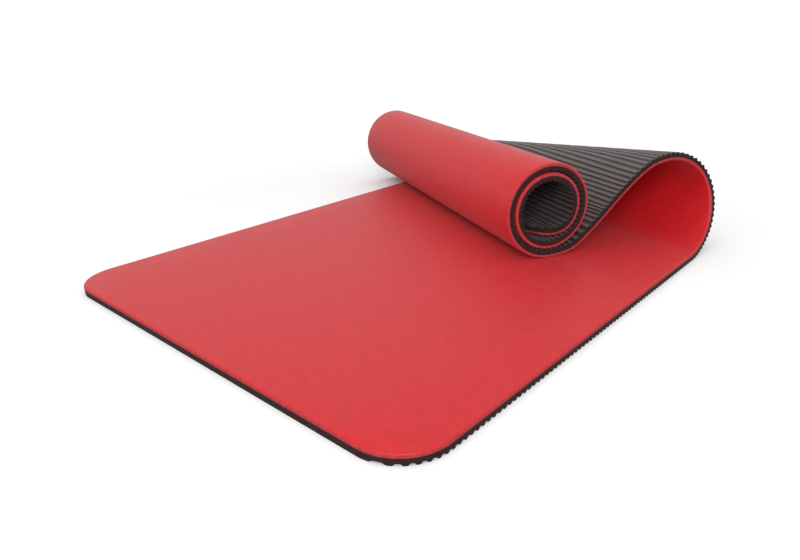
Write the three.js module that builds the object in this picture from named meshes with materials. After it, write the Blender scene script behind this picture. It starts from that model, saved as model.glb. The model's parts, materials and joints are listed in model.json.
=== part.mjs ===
// A roll-up gym mat: a smooth red top layer bonded to a dark ribbed base layer.
// One end lies flat. The other end lifts into an open loop, comes back over the mat and lies on it
// as a loose roll. The model is the flat mat, cut across into sections that are hinged together,
// and then folded: every section is drawn in the flat mat's own plane, and nested groups fold it.
//
// Millimetres. +X runs along the mat from its flat end towards the loop, +Y across it and +Z up.
// The origin is on the underside of the part that lies flat, on the mat's centre line.
import * as THREE from "three";

// The mat, laid flat
const MAT_LENGTH = 1730;
const MAT_WIDTH = 610;
const TOP_LAYER = 4.3;
const BASE_LAYER = 7.2;
const CORNER_RADIUS = 55;
const CORNER_STEPS = 10; // straight steps in a round corner's quarter circle
const CLEARANCE = 0.3; // between sections, and between the two layers
const ORIGIN_FROM_END = 300;

// The loop. Its fold lines fan out across the mat: the first leans, the last runs nearly square.
// The turn, the fan and the return length together bring the roll down flat on the mat,
// a clearance above its face.
const LOOP_FOLDS = 8;
const LOOP_START = 555; // near long edge, from the flat end
const LOOP_LENGTH = 377; // along the near long edge
const LOOP_TURN = 224.26; // degrees, from lying flat to coming back down on to the mat
const LOOP_LEAN = 0.38; // of a fold line at the loop's start, far end over the mat's width
const LOOP_FAN = 0.624; // how the lean goes to nothing at the loop's end
const RETURN_LENGTH = 69.8; // from the loop's end to the first landing fold

// The landing, where the mat bends the other way until it lies on itself
const LANDING_FOLDS = 2;
const LANDING_TURN = 45; // degrees, over all its folds
const LANDING_SPACING = 30;

// The roll, wound on in the same direction, with the red layer outside
const FOLDS_PER_TURN = 9;
const TURNS = 2;
const ROLL_RADIUS = 63.5; // to the middle of the mat's thickness, where the roll rests on the mat
const TURN_SPACING = 13.1; // how much that radius loses in a turn

const THICKNESS = TOP_LAYER + BASE_LAYER;
const NEUTRAL = THICKNESS / 2; // the mat bends about the middle of its thickness

const RED_FOAM = { color: 0xd0555a, roughness: 0.85, metalness: 0 };
const CHARCOAL_FOAM = { color: 0x37322f, roughness: 0.9, metalness: 0 };

const radians = THREE.MathUtils.degToRad;

// A fold line crosses the flat mat from near (on its near long edge) to far (on its far long edge),
// both measured from the flat end. A positive turn folds the mat upwards, red side inside.
// The loop's folds turn equally and lie closest together in the middle of the loop.
function loopFolds() {
  const folds = [];
  for (let i = 0; i < LOOP_FOLDS; i += 1) {
    const turned = (i + 0.5) / LOOP_FOLDS;
    const along = Math.acos(1 - 2 * turned) / Math.PI;
    const near = LOOP_START + LOOP_LENGTH * along;
    const lean = LOOP_LEAN * (1 - along) ** LOOP_FAN;
    folds.push({ near, far: near + MAT_WIDTH * lean, turn: radians(LOOP_TURN / LOOP_FOLDS) });
  }
  return folds;
}

// A fold line that lies square across the mat and folds it downwards, red side outside.
function squareFold(along, turn) {
  return { near: along, far: along, turn: -turn };
}

function landingFolds() {
  const folds = [];
  const start = LOOP_START + LOOP_LENGTH + RETURN_LENGTH;
  for (let i = 0; i < LANDING_FOLDS; i += 1) {
    folds.push(squareFold(start + LANDING_SPACING * i, radians(LANDING_TURN / LANDING_FOLDS)));
  }
  return folds;
}

// Each section of the roll is a side of a polygon round the spiral. The first side, which rests on
// the mat, starts at the last landing fold.
function rollFolds(lastLanding) {
  const turn = (2 * Math.PI) / FOLDS_PER_TURN;
  const folds = [];
  let along = lastLanding.near;
  for (let i = 0; i < FOLDS_PER_TURN * TURNS; i += 1) {
    const radius = ROLL_RADIUS - (TURN_SPACING * i) / FOLDS_PER_TURN;
    along += 2 * radius * Math.tan(turn / 2);
    folds.push(squareFold(along, turn));
  }
  return folds;
}

// How far a layer stops short of a fold line, so that it stays clear of the next section's layer
// both when the mat lies flat and when the fold is closed and that side of the mat is squeezed.
function setback(fold, bottom, top) {
  const squeezedDepth = Math.max(0, fold.turn > 0 ? top - NEUTRAL : NEUTRAL - bottom);
  return squeezedDepth * Math.tan(Math.abs(fold.turn) / 2) + CLEARANCE / 2;
}

// Half the mat's width at a distance from its flat end: it narrows only at the round corners.
function halfWidthAt(along) {
  const intoCorner = Math.max(0, CORNER_RADIUS - along, along - (MAT_LENGTH - CORNER_RADIUS));
  return MAT_WIDTH / 2 - CORNER_RADIUS + Math.sqrt(CORNER_RADIUS ** 2 - intoCorner ** 2);
}

// Places along a long edge, from one place to another, close together round the mat's own corners.
function placesAlong(from, to) {
  const places = [from, to];
  for (let i = 0; i <= CORNER_STEPS; i += 1) {
    const intoCorner = CORNER_RADIUS * (1 - Math.cos((i * Math.PI) / 2 / CORNER_STEPS));
    places.push(intoCorner, MAT_LENGTH - intoCorner);
  }
  return [...new Set(places)].filter((at) => at >= from && at <= to).sort((a, b) => a - b);
}

// One layer of the section between two fold lines. No fold line means the mat's own end.
function layerGeometry(start, end, bottom, top) {
  const from = start ? setback(start, bottom, top) : 0;
  const to = end ? -setback(end, bottom, top) : 0;
  const first = start ?? { near: 0, far: 0 };
  const last = end ?? { near: MAT_LENGTH, far: MAT_LENGTH };
  const nearEdge = placesAlong(first.near + from, last.near + to);
  const farEdge = placesAlong(first.far + from, last.far + to).reverse();
  const outline = new THREE.Shape([
    ...nearEdge.map((at) => new THREE.Vector2(at, -halfWidthAt(at))),
    ...farEdge.map((at) => new THREE.Vector2(at, halfWidthAt(at))),
  ]);
  const geometry = new THREE.ExtrudeGeometry(outline, { depth: top - bottom, bevelEnabled: false });
  geometry.translate(0, 0, bottom);
  return geometry;
}

function layerMesh(name, geometry, foam) {
  const mesh = new THREE.Mesh(geometry, new THREE.MeshStandardMaterial(foam));
  mesh.name = name;
  return mesh;
}

function section(label, start, end) {
  const top = layerGeometry(start, end, BASE_LAYER + CLEARANCE / 2, THICKNESS);
  const base = layerGeometry(start, end, 0, BASE_LAYER - CLEARANCE / 2);
  const group = new THREE.Group();
  group.add(layerMesh(`top_${label}`, top, RED_FOAM));
  group.add(layerMesh(`base_${label}`, base, CHARCOAL_FOAM));
  return group;
}

// A group that turns what is put in it about a fold line. What goes in is still drawn in the flat
// mat's own plane.
function foldedSheet(parent, fold) {
  const near = new THREE.Vector3(fold.near, -MAT_WIDTH / 2, NEUTRAL);
  const far = new THREE.Vector3(fold.far, MAT_WIDTH / 2, NEUTRAL);
  const hinge = new THREE.Group();
  hinge.position.copy(near);
  hinge.quaternion.setFromAxisAngle(far.sub(near).normalize(), -fold.turn);
  const sheet = new THREE.Group();
  sheet.position.copy(near).negate();
  hinge.add(sheet);
  parent.add(hinge);
  return sheet;
}

function numbered(label, folds) {
  return folds.map((fold, i) => ({ ...fold, label: `${label}_${String(i + 1).padStart(2, "0")}` }));
}

function foldedMat() {
  const landing = landingFolds();
  const folds = [
    ...numbered("loop", loopFolds()),
    ...numbered("landing", landing),
    ...numbered("roll", rollFolds(landing.at(-1))),
  ];
  const mat = new THREE.Group();
  mat.position.x = -ORIGIN_FROM_END;
  mat.add(section("flat", null, folds[0]));
  let sheet = mat;
  folds.forEach((fold, i) => {
    sheet = foldedSheet(sheet, fold);
    sheet.add(section(fold.label, fold, folds[i + 1]));
  });
  return mat;
}

const group = new THREE.Group();
group.add(foldedMat());

export default group;
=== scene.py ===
"""A roll-up gym mat: a smooth red foam top bonded to a dark ribbed foam base.

The CAD model is a strip of flat sections hinged together. Here the mat is the smooth sheet that
touches every section along its middle line. It is drawn flat, in the mat's own measures (how far
along from its flat end, how far across from its near long edge, and how high above the middle of
its thickness), and then carried into space, one piece for each hinge. Everything is in metres.
"""
import json
import math
from dataclasses import dataclass

import bmesh
import bpy
import numpy as np
from mathutils import Matrix, Vector


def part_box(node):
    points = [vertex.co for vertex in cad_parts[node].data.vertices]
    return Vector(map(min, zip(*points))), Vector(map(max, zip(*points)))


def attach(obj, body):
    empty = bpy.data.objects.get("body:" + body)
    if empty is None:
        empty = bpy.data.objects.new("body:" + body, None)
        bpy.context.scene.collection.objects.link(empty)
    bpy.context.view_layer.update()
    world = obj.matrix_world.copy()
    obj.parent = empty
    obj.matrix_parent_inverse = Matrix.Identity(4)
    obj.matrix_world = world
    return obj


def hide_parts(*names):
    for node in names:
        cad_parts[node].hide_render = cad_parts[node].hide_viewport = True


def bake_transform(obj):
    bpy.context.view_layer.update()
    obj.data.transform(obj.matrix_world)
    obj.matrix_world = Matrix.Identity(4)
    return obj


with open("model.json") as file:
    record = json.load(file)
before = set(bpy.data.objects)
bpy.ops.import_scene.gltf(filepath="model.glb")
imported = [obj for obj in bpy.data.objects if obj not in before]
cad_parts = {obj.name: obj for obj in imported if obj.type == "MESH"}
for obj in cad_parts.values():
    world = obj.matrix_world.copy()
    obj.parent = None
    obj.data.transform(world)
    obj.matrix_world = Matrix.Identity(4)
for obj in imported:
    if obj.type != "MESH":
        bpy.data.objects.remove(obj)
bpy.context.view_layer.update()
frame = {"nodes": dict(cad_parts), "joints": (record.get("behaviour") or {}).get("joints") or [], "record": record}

# The mat
TOP_LAYER = 0.0043
BOND_GAP = 0.0001
CORNER_RADIUS = 0.055
EDGE_ROUND = 0.0024  # the top layer's upper edge
# Faces this near the outline take the cut-edge material. On the red layer its darker red is partly the cut foam's
# own colour and partly painted shade for the side faces.
CUT_WIDTH = EDGE_ROUND / 4  # how far in from the outline a face still looks like cut foam

# The ribs that cross the underside
RIB_PITCH = 0.0082
RIB_DEPTH = 0.0022
RIB_SHARE = 0.5  # of the pitch that is rib, halfway down the groove
RIB_STEEPNESS = 1.2  # of the sides of a rib
RIB_CROWN = 0.25  # of the depth, how much a rib is rounded over

# The grid that a layer is drawn on. Its rows run across the mat and its columns along it.
ROWS_PER_RIB = 16
ROWS_IN_CORNER = 18
LINES_IN_EDGE = 6  # rows and columns in the rounding of the upper edge
TOP_ROW_CURLED = 0.001
TOP_ROW_FLAT = 0.006
ROW_DIGITS = 7  # decimals of a metre that tell two rows apart
COLUMNS_FANNED = 28
COLUMNS_STRAIGHT = 8
CUT_MARGIN = 0.004  # a grid reaches this far past the lines where it is cut
CUT_TOLERANCE = 1e-7
QUAD_CORNERS = 4
SHARP_ANGLE = math.radians(45)

# The patches and the grain of the foam
MOTTLE_DETAIL = 5.0
MOTTLE_SPREAD = 0.35, 0.65  # where the noise is wholly the dark colour, and wholly the light one
GRAIN_DETAIL = 3.0
BLOOM_ROUGHNESS = 0.5
GROOVE_SHADE = 0.3  # of a rib's colour
RIB_SHADE_END = 0.35  # the height of the ribs' wave, from -1 to 1, where the shade has gone

# The floor and the backdrop. Their brightness is given as the camera sees it, and as the mat gets it.
FLOOR_RADIUS = 12.0
FLOOR_CENTRE = 0.1, 0.0
FLOOR_DROP = 0.0002  # keeps the floor just clear of the ribs
FLOOR_SEEN, FLOOR_BOUNCED = 0.9, 0.35
GLOW_START, GLOW_END = 0.6, 2.0  # from the origin
GLOW_STRENGTH = 0.35
BACKDROP_SEEN, BACKDROP_BOUNCED = 1.0, 0.76
BACKDROP_STRENGTH = 1.05

# The camera
YAW, PITCH, ROLL = math.radians(42.98), math.radians(22.45), math.radians(1.97)
CAMERA_POSITION = -0.5723, -0.5588, 0.3203
SENSOR_WIDTH = 36.0
LENS = 28.17
NEAREST_SEEN = 0.01


# ---- The CAD sections ---------------------------------------------------------------------------


@dataclass
class Section:
    """A flat section of the mat, and the fold line where it starts."""

    body: str
    near: np.ndarray  # where the fold line meets the near long edge
    axis: np.ndarray  # along the fold line, from the near long edge to the far one
    along: np.ndarray
    across: np.ndarray
    up: np.ndarray
    turn: float  # radians, positive where the fold lifts the mat
    places: np.ndarray  # how far along the mat the fold line is, at its near and its far edge


def unit(vector):
    return vector / np.linalg.norm(vector)


def turned(vector, axis, angle):
    return np.array(Matrix.Rotation(angle, 3, Vector(axis)) @ Vector(vector))


def read_sections():
    """The sections in order from the flat end, and the mat's width and thickness."""
    flat_low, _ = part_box("base_flat")
    _, flat_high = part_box("top_flat")
    thickness = flat_high.z - flat_low.z
    width = flat_high.y - flat_low.y
    start = np.array((flat_low.x, flat_low.y, flat_low.z + thickness / 2))
    sections = [Section("flat", start, np.eye(3)[1], *np.eye(3), 0.0, np.zeros(2))]
    joints = frame["joints"]
    ratios = {c["joint"]: c["ratio"] for c in frame["record"]["behaviour"]["couplings"]}
    full_turn = math.radians(joints[0]["range_deg"][1])
    for joint in joints:
        last = sections[-1]
        angle = full_turn * ratios.get(joint["name"], 1.0)
        axis = unit(np.array(joint["axis"]))
        along = turned(last.along, axis, -angle)
        near = np.array(joint["pos_m"])
        # A joint's axis points so that it flattens the mat. The fold line always points across it.
        lifts = axis @ last.across > 0
        if not lifts:
            axis = -axis
        across = unit(axis - (axis @ along) * along)
        lean_before = (axis @ last.along) / (axis @ last.across)
        near_place = last.places[0] + (near - last.near) @ last.along
        places = near_place + np.array((0.0, width * lean_before))
        turn = angle if lifts else -angle
        sections.append(
            Section(joint["child"], near, axis, along, across, np.cross(along, across), turn, places)
        )
    return sections, width, thickness


def mat_length(last):
    """From the flat end to the far end of the last section."""
    vertices = frame["nodes"]["top_" + last.body].data.vertices
    return last.places[0] + max((np.array(v.co) - last.near) @ last.along for v in vertices)


sections, WIDTH, THICKNESS = read_sections()
LENGTH = mat_length(sections[-1])
TOP = THICKNESS / 2
BOND = TOP - TOP_LAYER


def middle_lines():
    """Where the pieces meet: halfway between fold lines, and as far before the first one."""
    folds = [s.places for s in sections[1:]] + [np.full(2, LENGTH)]
    middles = [(a + b) / 2 for a, b in zip(folds, folds[1:])]
    return [folds[0] - (folds[1] - folds[0]) / 2, *middles]


MIDDLES = middle_lines()


# ---- From the flat mat into space ---------------------------------------------------------------


def on_section(section, place):
    """Points of the flat mat, as rows of (along, across, height), carried by one section."""
    along, across, height = place.T
    local = (along - section.places[0], across, height)
    return section.near + sum(
        distance[:, None] * direction
        for distance, direction in zip(local, (section.along, section.across, section.up))
    )


def on_bend(index, place):
    """The same, carried by the smooth sheet round the fold line that starts a section."""
    before, after = sections[index - 1], sections[index]
    along, across, height = place.T
    share = across / WIDTH
    start, fold, end = (
        line[0] + (line[1] - line[0]) * share
        for line in (MIDDLES[index - 1], after.places, MIDDLES[index])
    )
    # A cubic curve between the sections, as near to a circle's arc as its handles can make it.
    half = abs(after.turn) / 2
    round_handle = 4 / 3 * math.tan(half / 2) / math.tan(half)
    cos_lean = np.linalg.norm(np.cross(after.axis, after.along))
    # Above the middle of the thickness a bend that lifts the mat is shorter, and below it longer.
    shortened = height * math.copysign(math.tan(half), after.turn) / cos_lean
    into, out_of = fold - start, end - fold
    # The step along the curve matches the mat's own measure at both ends.
    t = (along - start) / (end - start)
    speed_in, speed_out = ((end - start) / (3 * round_handle * length) for length in (into, out_of))
    t = t**3 * (speed_in + speed_out - 2) + t**2 * (3 - 2 * speed_in - speed_out) + t * speed_in
    ends = [
        on_section(section, np.column_stack((at, across, height)))
        for section, at in ((before, start), (after, end))
    ]
    handles = (
        ends[0] + (round_handle * (into - shortened))[:, None] * before.along,
        ends[1] - (round_handle * (out_of - shortened))[:, None] * after.along,
    )
    t = t[:, None]
    return (
        (1 - t) ** 3 * ends[0]
        + 3 * (1 - t) ** 2 * t * handles[0]
        + 3 * (1 - t) * t**2 * handles[1]
        + t**3 * ends[1]
    )


# ---- The flat mat's outline and surfaces --------------------------------------------------------


def crowded(reach, count):
    """Distances in from an edge, up to a reach, that crowd together at the edge."""
    return reach * (1 - np.cos(np.linspace(0, math.pi / 2, count)))


EDGE_INSETS = crowded(EDGE_ROUND, LINES_IN_EDGE)


def half_width_at(along):
    """Half of the mat's width at a place along it, less at the round corners."""
    into_corner = np.maximum(0, np.maximum(CORNER_RADIUS - along, along - (LENGTH - CORNER_RADIUS)))
    return WIDTH / 2 - CORNER_RADIUS + np.sqrt(np.maximum(0, CORNER_RADIUS**2 - into_corner**2))


def inset(along, across):
    """How far a point is in from the mat's outline, a rectangle with round corners."""
    past_x = np.abs(along - LENGTH / 2) - (LENGTH / 2 - CORNER_RADIUS)
    past_y = np.abs(across - WIDTH / 2) - (WIDTH / 2 - CORNER_RADIUS)
    outside = np.hypot(np.maximum(past_x, 0), np.maximum(past_y, 0))
    return CORNER_RADIUS - outside - np.minimum(np.maximum(past_x, past_y), 0)


def top_height(along, across):
    """The top face, rounded over at the mat's edge."""
    short = np.clip(EDGE_ROUND - inset(along, across), 0, EDGE_ROUND)
    return TOP - (EDGE_ROUND - np.sqrt(EDGE_ROUND**2 - short**2))


def rib_height(along, across):
    """The ribbed underside: ribs rounded over, with a groove between them."""
    wave = np.cos(2 * math.pi * along / RIB_PITCH)
    rib = np.clip(RIB_SHARE + RIB_STEEPNESS * wave, 0, 1)
    rib = rib * rib * (3 - 2 * rib) * (1 - RIB_CROWN * (1 - wave))
    return -TOP + RIB_DEPTH * (1 - rib)


def level(height):
    """A plain face at one height."""
    return lambda along, across: np.full_like(along, height)


# The upper and the lower face of each layer
LAYERS = {
    "top": (top_height, level(BOND + BOND_GAP / 2)),
    "base": (level(BOND - BOND_GAP / 2), rib_height),
}


# ---- Pieces -------------------------------------------------------------------------------------


def rows_between(layer, low, high, curled):
    """Places along the mat for a grid's rows. They count from the flat end, so pieces share them."""
    step = RIB_PITCH / ROWS_PER_RIB
    if layer == "top":
        step = TOP_ROW_CURLED if curled else TOP_ROW_FLAT
    rows = np.arange(math.floor(low / step), math.ceil(high / step) + 1) * step
    corner = crowded(CORNER_RADIUS, ROWS_IN_CORNER)
    rows = np.concatenate((rows, corner, LENGTH - corner, EDGE_INSETS, LENGTH - EDGE_INSETS))
    rows = np.unique(np.round(rows[(rows >= 0) & (rows <= LENGTH)], ROW_DIGITS))
    return rows[(rows >= low - step) & (rows <= high + step)]


def grid_solid(layer, low, high, columns, curled):
    """A closed slab of one layer between two places along the flat mat, as a bmesh."""
    rows = rows_between(layer, low, high, curled)
    middle = np.linspace(-1, 1, columns + 1)[1:-1]
    half = half_width_at(rows)[:, None]
    edges = EDGE_INSETS - half, half - EDGE_INSETS[::-1]
    across = np.hstack((edges[0], middle * (half - EDGE_ROUND), edges[1])) + WIDTH / 2
    along = np.repeat(rows[:, None], across.shape[1], axis=1)
    places = [
        np.column_stack((along.ravel(), across.ravel(), height(along, across).ravel()))
        for height in LAYERS[layer]
    ]
    count = along.size
    number = np.arange(count).reshape(along.shape)
    below = number + count
    quads = [
        np.stack((number[:-1, :-1], number[1:, :-1], number[1:, 1:], number[:-1, 1:]), -1),
        np.stack((below[:-1, :-1], below[:-1, 1:], below[1:, 1:], below[1:, :-1]), -1),
    ]
    # Once round the grid's edge, to wall it in between the two faces.
    rim = np.concatenate((number[:, 0], number[-1, 1:], number[-2::-1, -1], number[0, -2:0:-1]))
    after = np.roll(rim, -1)
    walls = np.stack((rim, rim + count, after + count, after), -1)
    mesh = bpy.data.meshes.new("grid")
    faces = np.concatenate([q.reshape(-1, 4) for q in quads] + [walls])
    mesh.from_pydata(np.concatenate(places).tolist(), [], faces.tolist())
    solid = bmesh.new()
    solid.from_mesh(mesh)
    bpy.data.meshes.remove(mesh)
    return solid


def cut(solid, line, keep_after):
    """Cuts the slab along a line across the flat mat and closes the cut."""
    near, far = Vector((line[0], 0, 0)), Vector((line[1], WIDTH, 0))
    normal = (far - near).cross(Vector((0, 0, 1)))
    geometry = [*solid.verts, *solid.edges, *solid.faces]
    bmesh.ops.bisect_plane(
        solid, geom=geometry, dist=CUT_TOLERANCE, plane_co=near, plane_no=normal,
        clear_inner=keep_after, clear_outer=not keep_after,
    )
    open_edges = [edge for edge in solid.edges if edge.is_boundary]
    bmesh.ops.holes_fill(solid, edges=open_edges, sides=0)


def finish_mesh(name, solid, carry):
    """Carries a finished slab into space, and keeps the mat's own measures as its UVs."""
    caps = [face for face in solid.faces if len(face.verts) > QUAD_CORNERS]
    bmesh.ops.triangulate(solid, faces=caps)
    bmesh.ops.recalc_face_normals(solid, faces=solid.faces[:])
    for face in solid.faces:
        face.smooth = True
    mesh = bpy.data.meshes.new(name)
    solid.to_mesh(mesh)
    solid.free()
    place = np.empty(len(mesh.vertices) * 3)
    mesh.vertices.foreach_get("co", place)
    place = place.reshape(-1, 3)
    corner_vertex = np.empty(len(mesh.loops), np.int32)
    mesh.loops.foreach_get("vertex_index", corner_vertex)
    uv = mesh.uv_layers.new(name="mat_measures")
    uv.data.foreach_set("uv", place[corner_vertex][:, :2].ravel())
    mark_cut_faces(mesh, place)
    mesh.vertices.foreach_set("co", carry(place).ravel())
    mesh.update()
    mesh.set_sharp_from_angle(angle=SHARP_ANGLE)
    piece = bpy.data.objects.new(name, mesh)
    bpy.context.scene.collection.objects.link(piece)
    return piece


def mark_cut_faces(mesh, place):
    """Gives the faces of the mat's cut edge the second material."""
    outer = inset(place[:, 0], place[:, 1]) < CUT_WIDTH
    for polygon in mesh.polygons:
        polygon.material_index = int(outer[list(polygon.vertices)].all())


def end_piece(layer, name, lines, section):
    """The part of a layer that lies wholly on one section, at either end of the mat."""
    low = 0.0 if lines[0] is None else lines[0].min()
    high = LENGTH if lines[1] is None else lines[1].max()
    solid = grid_solid(layer, low, high, COLUMNS_STRAIGHT, False)
    for line, keep_after in zip(lines, (True, False)):
        if line is not None:
            cut(solid, line, keep_after)
    piece = finish_mesh(f"{layer}_sheet_{name}", solid, lambda place: on_section(section, place))
    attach(piece, section.body)
    return piece


def bend_piece(layer, index):
    """The part of a layer that bends round the fold line at the start of a section."""
    before, after = sections[index - 1], sections[index]
    lines = MIDDLES[index - 1], MIDDLES[index]
    fanned = any(abs(line[1] - line[0]) > CUT_MARGIN for line in lines)
    columns = COLUMNS_FANNED if fanned else COLUMNS_STRAIGHT
    solid = grid_solid(layer, lines[0].min() - CUT_MARGIN, lines[1].max() + CUT_MARGIN, columns, True)
    cut(solid, lines[0], True)
    cut(solid, lines[1], False)
    piece = finish_mesh(f"{layer}_sheet_{after.body}", solid, lambda place: on_bend(index, place))
    forward = unit(unit(np.cross(after.axis, before.up)) + unit(np.cross(after.axis, after.up)))
    forward = forward * math.copysign(1, forward @ after.along)
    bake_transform(piece)
    return piece


def build_layer(layer, skin, edge):
    """A layer's pieces, each standing for the CAD section that it bends into."""
    flat = end_piece(layer, "flat", (None, MIDDLES[0]), sections[0])
    bends = [bend_piece(layer, index) for index in range(1, len(sections))]
    tip = end_piece(layer, "tip", (MIDDLES[-1], None), sections[-1])
    for piece, section in zip((flat, *bends), sections):
        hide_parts(f"{layer}_{section.body}")
    for piece in (flat, *bends, tip):
        piece.data.materials.append(skin)
        piece.data.materials.append(edge)


# ---- Materials ----------------------------------------------------------------------------------


@dataclass
class Finish:
    """How a foam surface takes the light."""

    roughness: float
    gloss: float  # specular level
    bloom: float  # sheen weight: the pale veil that foam has when seen aslant
    mottle: float  # size of the patches of slightly different colour
    grain: float  # size of the bumps
    grain_depth: float


# All lengths are in metres: patches of 6 to 20 mm, and a grain of 0.5 to 0.9 mm.
SKIN = Finish(roughness=0.5, gloss=0.42, bloom=0.07, mottle=0.012, grain=0.0009, grain_depth=0.00004)
RIBBED = Finish(roughness=0.42, gloss=0.8, bloom=0.08, mottle=0.02, grain=0.0007, grain_depth=0.00005)
CUT = Finish(roughness=0.8, gloss=0.2, bloom=0.03, mottle=0.006, grain=0.0005, grain_depth=0.0002)


def srgb(red, green, blue):
    """A colour given as a screen shows it, 0 to 255, as the shader's linear numbers."""
    shares = [channel / 255 for channel in (red, green, blue)]
    linear = [s / 12.92 if s <= 0.04045 else ((s + 0.055) / 1.055) ** 2.4 for s in shares]
    return (*linear, 1.0)


def noise(tree, coordinates, cell, detail):
    """Noise with features about as big as a cell, in metres along and across the mat."""
    texture = tree.nodes.new("ShaderNodeTexNoise")
    texture.inputs["Scale"].default_value = 1 / cell
    texture.inputs["Detail"].default_value = detail
    tree.links.new(coordinates, texture.inputs["Vector"])
    return texture.outputs["Fac"]


def rib_shade(tree, measures):
    """White on a rib and grey in a groove, where little light gets in."""
    split = tree.nodes.new("ShaderNodeSeparateXYZ")
    tree.links.new(measures, split.inputs["Vector"])
    phase = tree.nodes.new("ShaderNodeMath")
    phase.operation = "MULTIPLY"
    phase.inputs[1].default_value = 2 * math.pi / RIB_PITCH
    tree.links.new(split.outputs["X"], phase.inputs[0])
    wave = tree.nodes.new("ShaderNodeMath")
    wave.operation = "COSINE"
    tree.links.new(phase.outputs["Value"], wave.inputs[0])
    ramp = tree.nodes.new("ShaderNodeValToRGB")
    ramp.color_ramp.elements[0].color = (GROOVE_SHADE, GROOVE_SHADE, GROOVE_SHADE, 1)
    ramp.color_ramp.elements[1].position = RIB_SHADE_END
    tree.links.new(wave.outputs["Value"], ramp.inputs["Fac"])
    return ramp.outputs["Color"]


def foam(name, dark, light, finish, shade=None):
    """Closed-cell foam, its colour mottled between two and multiplied by a shade."""
    material = bpy.data.materials.new(name)
    material.use_nodes = True
    tree = material.node_tree
    shader = tree.nodes["Principled BSDF"]
    shader.inputs["Roughness"].default_value = finish.roughness
    shader.inputs["Specular IOR Level"].default_value = finish.gloss
    shader.inputs["Sheen Weight"].default_value = finish.bloom
    shader.inputs["Sheen Roughness"].default_value = BLOOM_ROUGHNESS
    uv_map = tree.nodes.new("ShaderNodeUVMap")
    uv_map.uv_map = "mat_measures"
    measures = uv_map.outputs["UV"]
    ramp = tree.nodes.new("ShaderNodeValToRGB")
    for element, position, tint in zip(ramp.color_ramp.elements, MOTTLE_SPREAD, (dark, light)):
        element.position = position
        element.color = tint
    tree.links.new(noise(tree, measures, finish.mottle, MOTTLE_DETAIL), ramp.inputs["Fac"])
    colour = ramp.outputs["Color"]
    if shade:
        mix = tree.nodes.new("ShaderNodeMixRGB")
        mix.blend_type = "MULTIPLY"
        mix.inputs["Fac"].default_value = 1.0
        tree.links.new(colour, mix.inputs["Color1"])
        tree.links.new(shade(tree, measures), mix.inputs["Color2"])
        colour = mix.outputs["Color"]
    tree.links.new(colour, shader.inputs["Base Color"])
    bump = tree.nodes.new("ShaderNodeBump")
    bump.inputs["Strength"].default_value = 1.0
    bump.inputs["Distance"].default_value = finish.grain_depth
    tree.links.new(noise(tree, measures, finish.grain, GRAIN_DETAIL), bump.inputs["Height"])
    tree.links.new(bump.outputs["Normal"], shader.inputs["Normal"])
    return material


# ---- Surroundings -------------------------------------------------------------------------------


def area_light(name, position, target, size, power):
    """A lamp that faces its target."""
    light = bpy.data.lights.new(name, "AREA")
    light.shape = "RECTANGLE"
    light.size, light.size_y = size
    light.energy = power
    lamp = bpy.data.objects.new(name, light)
    lamp.location = position
    lamp.rotation_euler = (Vector(target) - Vector(position)).to_track_quat("-Z", "Y").to_euler()
    bpy.context.scene.collection.objects.link(lamp)


def seen_and_bounced(tree, seen, bounced):
    """One grey for what the camera sees, and another for the light that it gives to other things."""
    path = tree.nodes.new("ShaderNodeLightPath")
    ramp = tree.nodes.new("ShaderNodeValToRGB")
    ramp.color_ramp.elements[0].color = (bounced, bounced, bounced, 1)
    ramp.color_ramp.elements[1].color = (seen, seen, seen, 1)
    tree.links.new(path.outputs["Is Camera Ray"], ramp.inputs["Fac"])
    return ramp.outputs["Color"]


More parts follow.
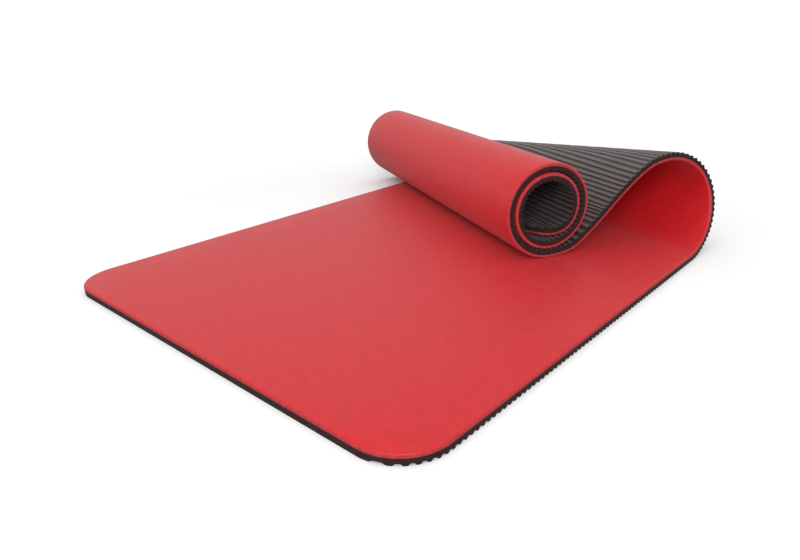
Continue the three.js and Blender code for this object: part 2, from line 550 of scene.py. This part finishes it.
def make_floor():
    """A white disc, too wide for its rim to be seen."""
    disc = bmesh.new()
    place = Matrix.Translation((*FLOOR_CENTRE, -FLOOR_DROP))
    bmesh.ops.create_circle(disc, cap_ends=True, segments=96, radius=FLOOR_RADIUS, matrix=place)
    mesh = bpy.data.meshes.new("floor")
    disc.to_mesh(mesh)
    disc.free()
    floor = bpy.data.objects.new("floor", mesh)
    bpy.context.scene.collection.objects.link(floor)
    material = bpy.data.materials.new("floor")
    material.use_nodes = True
    shader = material.node_tree.nodes["Principled BSDF"]
    tree = material.node_tree
    tree.links.new(seen_and_bounced(tree, FLOOR_SEEN, FLOOR_BOUNCED), shader.inputs["Base Color"])
    # Away from the mat a little glow makes the floor as white as the background.
    tree.links.new(seen_and_bounced(tree, 1.0, 0.0), shader.inputs["Emission Color"])
    coordinates = tree.nodes.new("ShaderNodeTexCoord")
    distance = tree.nodes.new("ShaderNodeVectorMath")
    distance.operation = "LENGTH"
    tree.links.new(coordinates.outputs["Object"], distance.inputs[0])
    glow = tree.nodes.new("ShaderNodeMapRange")
    glow.inputs["From Min"].default_value = GLOW_START
    glow.inputs["From Max"].default_value = GLOW_END
    glow.inputs["To Max"].default_value = GLOW_STRENGTH
    tree.links.new(distance.outputs["Value"], glow.inputs["Value"])
    tree.links.new(glow.outputs["Result"], shader.inputs["Emission Strength"])
    shader.inputs["Roughness"].default_value = 0.9
    shader.inputs["Specular IOR Level"].default_value = 0.1
    mesh.materials.append(material)


def make_lights():
    """A white backdrop, a wide lamp overhead, and a smaller one off the flat end's near corner."""
    world = bpy.data.worlds.new("studio")
    world.use_nodes = True
    tree = world.node_tree
    background = tree.nodes["Background"]
    brightness = seen_and_bounced(tree, BACKDROP_SEEN, BACKDROP_BOUNCED)
    tree.links.new(brightness, background.inputs["Color"])
    background.inputs["Strength"].default_value = BACKDROP_STRENGTH
    bpy.context.scene.world = world
    area_light("overhead", (0.1, 0.3, 2.6), target=(0.1, 0, 0), size=(3.0, 3.0), power=10)
    area_light("front", (-2.2, -1.7, 1.6), target=(0.3, 0, 0), size=(1.6, 1.2), power=66)


def make_camera():
    """Off the near corner of the flat end, looking down across the mat to the roll."""
    forward = Vector(
        (math.cos(YAW) * math.cos(PITCH), math.sin(YAW) * math.cos(PITCH), -math.sin(PITCH))
    )
    level_right = Vector((math.sin(YAW), -math.cos(YAW), 0))
    level_down = forward.cross(level_right)
    right = math.cos(ROLL) * level_right + math.sin(ROLL) * level_down
    down = forward.cross(right)
    camera = bpy.data.objects.new("camera", bpy.data.cameras.new("camera"))
    turn = Matrix((right, -down, -forward)).transposed().to_4x4()
    camera.matrix_world = Matrix.Translation(CAMERA_POSITION) @ turn
    camera.data.sensor_width = SENSOR_WIDTH
    camera.data.lens = LENS
    camera.data.clip_start = NEAREST_SEEN
    bpy.context.scene.collection.objects.link(camera)
    bpy.context.scene.camera = camera


make_camera()
make_lights()
make_floor()
red_skin = foam("red_skin", srgb(186, 14, 22), srgb(194, 20, 28), SKIN)
# Red cut foam for the outer faces. Its colour is also darkened as painted shade, because those side faces get less
# light than the top.
red_cut_painted_shade = foam("red_cut_painted_shade", srgb(156, 46, 52), srgb(172, 60, 66), CUT)
charcoal_skin = foam("charcoal_skin", srgb(72, 62, 61), srgb(86, 75, 74), RIBBED, rib_shade)
charcoal_cut = foam("charcoal_cut", srgb(40, 21, 21), srgb(50, 28, 27), CUT)
build_layer("top", red_skin, red_cut_painted_shade)
build_layer("base", charcoal_skin, charcoal_cut)
bpy.context.scene.view_settings.view_transform = "Standard"
